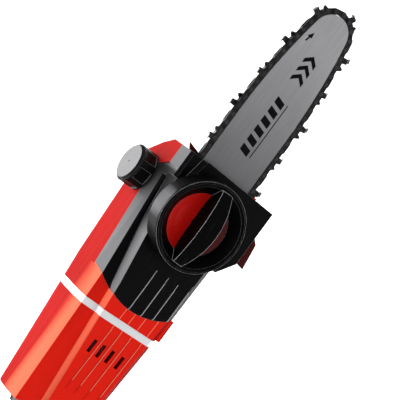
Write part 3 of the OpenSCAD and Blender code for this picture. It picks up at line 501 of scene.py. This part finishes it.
# The cutters get a painted highlight on their upward faces
cutter = oily("cutter_chromed_steel", (8, 8, 9), (84, 84, 86), rough=0.4, metal=0.2, painted_highlight_rgb=(150, 150, 152))
rivet = oily("rivet_steel", (36, 36, 37), (96, 96, 98), rough=0.4, metal=0.5)
print_black = moulded("bar_print_black", (5, 5, 6), (50, 50, 52), rough=0.5, edge_wear_and_highlight=0.2, spec=0.05)
spring_steel = brushed("spring_wire", (150, 152, 156), rough=0.3, dirt=0.2)
steel = brushed("steel_zinc_plated", (128, 130, 134), rough=0.36)
turned = brushed("steel_turned", (128, 130, 134), rough=0.32, stretch=LINES_ALONG_Y)
cast = moulded("cast_aluminium", (150, 152, 155), (196, 198, 200), rough=0.48, metal=0.85, edge_wear_and_highlight=0.4, grain=3)
painted = moulded("red_painted_steel", (66, 9, 6), (150, 60, 50), rough=0.4, edge_wear_and_highlight=0.4, grain=1.6,
                  edge=0.4 * MM, spec=0.06)
tube_bright = brushed("tube_anodised", (118, 120, 124), rough=0.36, dirt=0.1)
tube_dark = moulded("tube_powder_coat", (34, 36, 39), (110, 112, 115), rough=0.42, edge_wear_and_highlight=0.3, grain=3.5)
rubber = make_grip_rubber()
seal = rubbery("seal_rubber_black", (26, 26, 27), rough=0.6)
lead = rubbery("lead_sheath", (18, 18, 19), rough=0.55)
brass = brushed("contact_brass", (198, 158, 78), rough=0.26)


def make_winding():
    """Varnished copper wire, wound turn by turn."""
    s = Surface("copper_winding", (150, 82, 44), rough=0.34, metal=0.8)
    wires = s.bands(260, "X", distortion=0.4)
    s.tint(s.ramp(wires, (0.0, 1.0), (0.55, 0.0)), (70, 36, 20), strength=0.8)
    s.bump(wires, 0.2 * MM, strength=0.8)
    return s.done()


def make_laminated():
    """Stacked iron sheets, seen on edge."""
    s = Surface("laminated_iron", (92, 95, 99), rough=0.45, metal=0.7)
    sheets = s.bands(300, "X", "SAW")
    s.tint(s.ramp(sheets, (0.0, 1.0), (0.3, 0.0)), (40, 41, 43), strength=0.7)
    s.bump(sheets, 0.1 * MM, strength=0.6)
    return s.done()


def make_tank():
    """Milky plastic that lets some light through."""
    s = Surface("tank_translucent", (222, 222, 208), rough=0.35)
    s.shader.inputs["Subsurface Weight"].default_value = 0.25
    s.shader.inputs["Subsurface Radius"].default_value = (4 * MM, 4 * MM, 3 * MM)
    s.tint(s.ramp(s.noise(22), (0.3, 0.0), (0.7, 1.0)), (206, 204, 182), strength=0.5)
    s.bump(s.noise(300), 0.05 * MM, strength=0.4)
    return s.done()


def make_carbon():
    """Pressed carbon with bright specks."""
    s = Surface("carbon_block", (44, 44, 45), rough=0.6, metal=0.2)
    s.tint(s.ramp(s.noise(800, detail=4), (0.45, 0.0), (0.7, 1.0)), (80, 80, 82), strength=0.6)
    s.bump(s.noise(1200), 0.04 * MM, strength=0.5)
    return s.done()


winding, laminated, tank, carbon = make_winding(), make_laminated(), make_tank(), make_carbon()

FINISH = {
    "housing_left": red, "housing_right": red, "side_shroud": black, "sprocket_cover": cover_black,
    "trim_ring": white, "head_screws": steel, "bumper_plate": painted, "guide_bar": bar_steel,
    "chain_drive_links": chain_dark, "chain_tie_straps": chain_dark, "chain_cutters_left": cutter,
    "chain_cutters_right": cutter, "chain_rivets": rivet, "bar_pad": cover_black, "bar_stud": turned,
    "clamp_knob": knob_black, "knob_insert": insert_red, "gear_case": cast, "spindle": turned,
    "spindle_bearings": turned, "face_gear": turned, "drive_sprocket": rivet, "sprocket_clip": steel,
    "motor_pinion": steel, "armature": winding, "motor_shaft": steel, "cooling_fan": black,
    "motor_bearings": steel, "stator": laminated, "carbon_brushes": carbon, "oil_tank": tank,
    "cap_seal": seal, "oil_cap": cap_black, "oil_tube": seal, "tilt_tongue": black, "tilt_yoke": black,
    "tilt_bolt": turned, "tilt_button": trigger_red, "tilt_spring": steel, "inner_tube": tube_bright,
    "slide_bush": black, "outer_tube": tube_dark, "front_bush": black, "clamp_collar": black,
    "clamp_lever": trigger_red, "lever_pin": turned, "front_grip": rubber, "strap_collar": black,
    "strap_ring": steel, "handle_left": handle_black, "handle_right": handle_black, "grip_sleeve": rubber,
    "trigger": trigger_red, "trigger_spring": steel, "lock_off": trigger_red, "lock_spring": steel,
    "power_switch": black, "mains_inlet": handle_black, "inlet_pins": brass, "coiled_lead": lead,
}

# Edge rounding per node in millimetres; the rest get none
ROUND = {
    "housing_left": 0.5, "housing_right": 0.5, "side_shroud": 0.35, "sprocket_cover": 0.4, "trim_ring": 0.3,
    "bumper_plate": 0.35, "clamp_knob": 0.5, "knob_insert": 0.4, "oil_cap": 0.4, "tilt_tongue": 0.6,
    "tilt_yoke": 0.7, "tilt_button": 0.6, "clamp_collar": 0.7, "clamp_lever": 0.6, "strap_collar": 0.6,
    "handle_left": 0.8, "handle_right": 0.8, "trigger": 1.0, "lock_off": 0.8, "mains_inlet": 0.4,
    "guide_bar": 0.12, "tilt_bolt": 0.3, "strap_ring": 0.5, "outer_tube": 0.3, "inner_tube": 0.3,
    "front_grip": 0.4, "power_switch": 0.4, "gear_case": 0.4, "bar_pad": 0.3,
}


WELD_DISTANCE = 1e-6
ROUND_ANGLE, SPLIT_ANGLE = math.radians(24), math.radians(30)
FACE_WEIGHT = 80


def finish_node(name, node):
    """Gives a node its material and either rounded edges or sharp ones."""
    node.data.materials.clear()
    node.data.materials.append(FINISH[name])
    for poly in node.data.polygons:
        poly.use_smooth = True
        poly.material_index = 0
    weld = node.modifiers.new("weld", "WELD")
    weld.merge_threshold = WELD_DISTANCE
    if name in ROUND:
        bevel = node.modifiers.new("round", "BEVEL")
        bevel.width = ROUND[name] * MM
        bevel.segments = 2
        bevel.limit_method = "ANGLE"
        bevel.angle_limit = ROUND_ANGLE
        bevel.use_clamp_overlap = True
        flat = node.modifiers.new("flat", "WEIGHTED_NORMAL")
        flat.weight = FACE_WEIGHT
    else:
        split = node.modifiers.new("edges", "EDGE_SPLIT")
        split.split_angle = SPLIT_ANGLE


for name, node in nodes.items():
    finish_node(name, node)


# ---------------------------------------------------------------- added pieces

def add_piece(name, bm, material, body):
    """Makes an object of a bmesh and registers it with the body it moves with."""
    bmesh.ops.recalc_face_normals(bm, faces=bm.faces)
    mesh = bpy.data.meshes.new(name)
    bm.to_mesh(mesh)
    bm.free()
    mesh.materials.append(material)
    piece = bpy.data.objects.new(name, mesh)
    scene.collection.objects.link(piece)
    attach(piece, body)
    return piece


def add_prism(bm, outline, y0, y1):
    """Adds a flat plate from an outline of (x, z) points in millimetres from the head's origin."""
    low = [bm.verts.new(at(x, y0, z)) for x, z in outline]
    high = [bm.verts.new(at(x, y1, z)) for x, z in outline]
    bm.faces.new(low)
    bm.faces.new(high)
    for i in range(len(outline)):
        k = (i + 1) % len(outline)
        bm.faces.new((low[i], low[k], high[k], high[i]))


# The print in millimetres: how far the ink stands out of the bar and reaches into it, and where the
# slanted bars and the chevrons start and how far apart they stand
INK_OUT, INK_IN = 0.06, 0.04
SLANTS, SLANT_START, SLANT_STEP = 6, 79, 11
CHEVRONS, CHEVRON_START, CHEVRON_STEP = 3, 163, 10


def make_bar_print():
    """Generic print on the bar: slanted bars over a line, three chevrons and a chain-direction arrow."""
    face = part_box("guide_bar")[0].y / MM
    y0, y1 = face - INK_OUT, face + INK_IN
    bm = bmesh.new()
    for i in range(SLANTS):
        x = SLANT_START + i * SLANT_STEP
        add_prism(bm, [(x, -5.5), (x + 7, -5.5), (x + 10, 5.5), (x + 3, 5.5)], y0, y1)
    add_prism(bm, [(80, -9.6), (142, -9.6), (142, -8.6), (80, -8.6)], y0, y1)
    for i in range(CHEVRONS):
        x = CHEVRON_START + i * CHEVRON_STEP
        add_prism(bm, [(x, -8), (x + 5, -8), (x + 11, -0.5), (x + 5, 7), (x, 7), (x + 6, -0.5)], y0, y1)
    arrow = [(212, 14.4), (206, 19.4), (206, 17.2), (201, 18.6), (201, 16.8), (206, 15.4), (206, 13.4)]
    add_prism(bm, arrow, y0, y1)
    add_piece("bar_print", bm, print_black, "head")


make_bar_print()


def join_rings(bm, rings):
    """Faces between each ring of vertices and the next, and over the two ends."""
    for a, b in zip(rings, rings[1:]):
        for k in range(len(a)):
            n = (k + 1) % len(a)
            bm.faces.new((a[k], a[n], b[n], b[k]))
    bm.faces.new(rings[0])
    bm.faces.new(rings[-1])


WIRE_RADIUS = 0.42 * MM
COIL_TURNS, STEPS_PER_TURN, WIRE_SIDES = 4, 20, 8
# Share of the wire at each end that lies flat, as on a ground compression spring
CLOSED_END = 0.12


def make_coil(name, node, body, axis):
    """A wound spring in place of a node's plain tube."""
    low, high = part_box(node)
    along = Vector(axis)
    span = abs((high - low).dot(along))
    radius = max(map(abs, (high - low).cross(along))) / 2 - WIRE_RADIUS
    across = Vector((1, 0, 0))
    third = along.cross(across)
    middle = (low + high) / 2
    bm = bmesh.new()
    rings = []
    count = COIL_TURNS * STEPS_PER_TURN
    for i in range(count + 1):
        part = i / count
        angle = part * COIL_TURNS * math.tau
        rise = min(1, max(0, (part - CLOSED_END) / (1 - 2 * CLOSED_END)))
        out = across * math.cos(angle) + third * math.sin(angle)
        core = middle + out * radius + along * ((rise - 0.5) * (span - 2 * WIRE_RADIUS))
        rings.append([
            bm.verts.new(core + (out * math.cos(a) + along * math.sin(a)) * WIRE_RADIUS)
            for a in (k * math.tau / WIRE_SIDES for k in range(WIRE_SIDES))
        ])
    join_rings(bm, rings)
    for face in bm.faces:
        face.smooth = len(face.verts) == 4
    piece = add_piece(name, bm, spring_steel, body)
    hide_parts(node)
    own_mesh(piece)


make_coil("tilt_button_coil", "tilt_spring", "front_pole", (0, 1, 0))
make_coil("trigger_coil", "trigger_spring", "rear_pole", (0, 0, 1))
make_coil("lock_off_coil", "lock_spring", "rear_pole", (0, 0, 1))


SCREW_STEPS = 24
# Where the screw's head sits on the curved surface, measured from its axis
SEAT_REACH = 3 * MM
# The screw's radius and depth in millimetres: the hexagon socket's floor and rim, the dome, the neck
SOCKET = [(1.5, 0.4), (1.5, -1.2)]
DOME = [(2.2, -1.5), (3.1, -1.2), (3.8, -0.3), (3.8, 0.6), (1.7, 0.6)]


def hexagon(angle):
    """How far a hexagon reaches at an angle, as a share of its inner radius."""
    return 1 / math.cos((angle + math.pi / 6) % (math.pi / 3) - math.pi / 6)


def make_screw(name, node, body, x, z, shank):
    """A domed screw with a hexagon socket, its head resting on a node's knob-side surface."""
    hit, place, _, _ = nodes[node].ray_cast(Vector((x + SEAT_REACH, -1, z)), Vector((0, 1, 0)))
    if not hit:
        sys.exit("no surface under " + name)
    bm = bmesh.new()
    rings = []
    for r, depth in SOCKET + DOME + [(DOME[-1][0], shank)]:
        ring = []
        for k in range(SCREW_STEPS):
            angle = k * math.tau / SCREW_STEPS
            reach = r * MM * (hexagon(angle) if (r, depth) in SOCKET else 1)
            ring.append(bm.verts.new((
                x + reach * math.cos(angle), place.y + depth * MM, z + reach * math.sin(angle))))
        rings.append(ring)
    join_rings(bm, rings)
    add_piece(name, bm, steel, body)


make_screw("handle_screw", "handle_right", "rear_pole", x=72 * MM, z=0, shank=22)


# ---------------------------------------------------------------- floor

FLOOR_GAP = 0.05
FLOOR_HALF = 6


def make_floor():
    """White paper, low enough that the head, tilted down to its limit, still hangs clear of it."""
    s = Surface("floor_paper", (250, 250, 250), rough=0.9, spec=0.1)
    s.tint(s.ramp(s.noise(3, detail=2), (0.3, 0.0), (0.7, 1.0)), (247, 247, 248), strength=0.5)
    bm = bmesh.new()
    bmesh.ops.create_grid(bm, x_segments=8, y_segments=8, size=FLOOR_HALF)
    mesh = bpy.data.meshes.new("floor")
    bm.to_mesh(mesh)
    bm.free()
    floor = bpy.data.objects.new("floor", mesh)
    tilt = next(j for j in record["behaviour"]["joints"] if j["name"] == "head_tilt")
    bolt = centre("tilt_bolt")
    reach = cad_box[1][0] - bolt.x
    lowest = bolt.z - reach * math.sin(math.radians(tilt["range_deg"][1])) - FLOOR_GAP
    floor.location = (HEAD.x, 0, lowest)
    scene.collection.objects.link(floor)
    mesh.materials.append(s.done())


make_floor()
